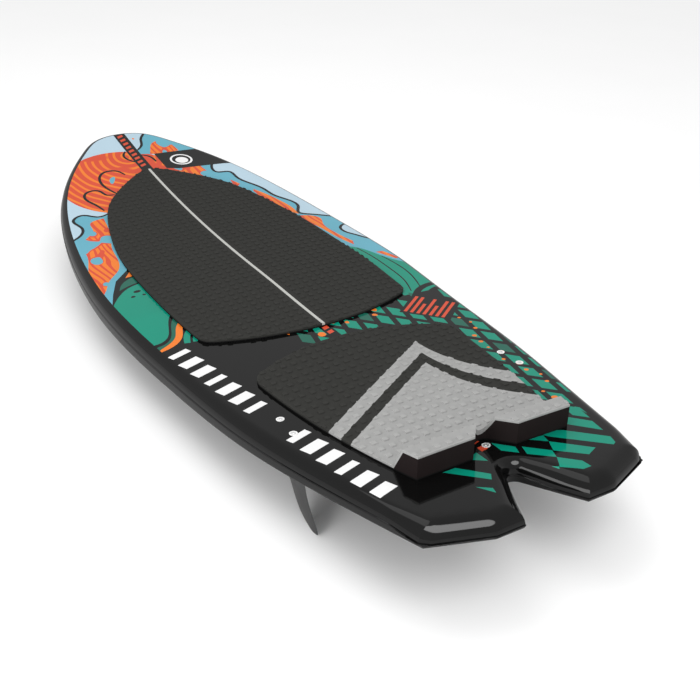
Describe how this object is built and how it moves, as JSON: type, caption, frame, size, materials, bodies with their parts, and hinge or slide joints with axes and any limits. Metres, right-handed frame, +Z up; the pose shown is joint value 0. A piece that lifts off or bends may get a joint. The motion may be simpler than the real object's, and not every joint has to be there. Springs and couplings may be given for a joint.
{
  "type": "wakesurf board",
  "caption": "Wakesurf board with a swallow tail, two foam traction pads, a kick block at the tail and fins screwed on through the deck.",
  "frame": {"origin": "under the middle of the board, on its centre line, at the height of the side fins' tips", "axes": "+Y towards the nose, +X towards the right rail seen from above with the nose ahead, +Z up"},
  "size_m": [0.5264, 1.422, 0.1684],
  "materials": {
    "core_foam": "closed-cell foam, cut surface",
    "deck_laminate": "gloss clear coat over printed art",
    "bottom_laminate": "gloss clear coat",
    "pad_base_foam": "matt EVA foam",
    "pad_dark_foam": "matt EVA foam with raised squares",
    "pad_light_foam": "matt EVA foam with raised squares",
    "kick_foam": "matt EVA foam",
    "fin_plastic": "moulded glass-filled nylon",
    "insert_brass": "machined",
    "screw_steel": "stainless steel",
    "cup_plastic": "white nylon",
    "sleeve_plastic": "natural nylon tube",
    "block_foam": "high-density foam"
  },
  "bodies": {
    "root": {"foam_core": "core_foam", "deck_skin": "deck_laminate", "bottom_skin": "bottom_laminate", "front_pad_base": "pad_base_foam", "front_pad_left": "pad_dark_foam", "front_pad_right": "pad_dark_foam", "front_pad_stripe": "pad_light_foam", "rear_pad_base": "pad_base_foam", "rear_pad_front": "pad_dark_foam", "rear_pad_light_stripe": "pad_light_foam", "rear_pad_dark_stripe": "pad_dark_foam", "rear_pad_tail": "pad_light_foam", "kick_block": "kick_foam", "left_fin": "fin_plastic", "left_fin_inserts": "insert_brass", "left_fin_screws": "screw_steel", "left_deck_cups": "cup_plastic", "left_screw_sleeves": "sleeve_plastic", "left_fin_block": "block_foam", "right_fin": "fin_plastic", "right_fin_inserts": "insert_brass", "right_fin_screws": "screw_steel", "right_deck_cups": "cup_plastic", "right_screw_sleeves": "sleeve_plastic", "right_fin_block": "block_foam", "centre_fin": "fin_plastic", "centre_fin_inserts": "insert_brass", "centre_fin_screws": "screw_steel", "centre_deck_cups": "cup_plastic", "centre_screw_sleeves": "sleeve_plastic", "centre_fin_block": "block_foam"}
  },
  "joints": []
}
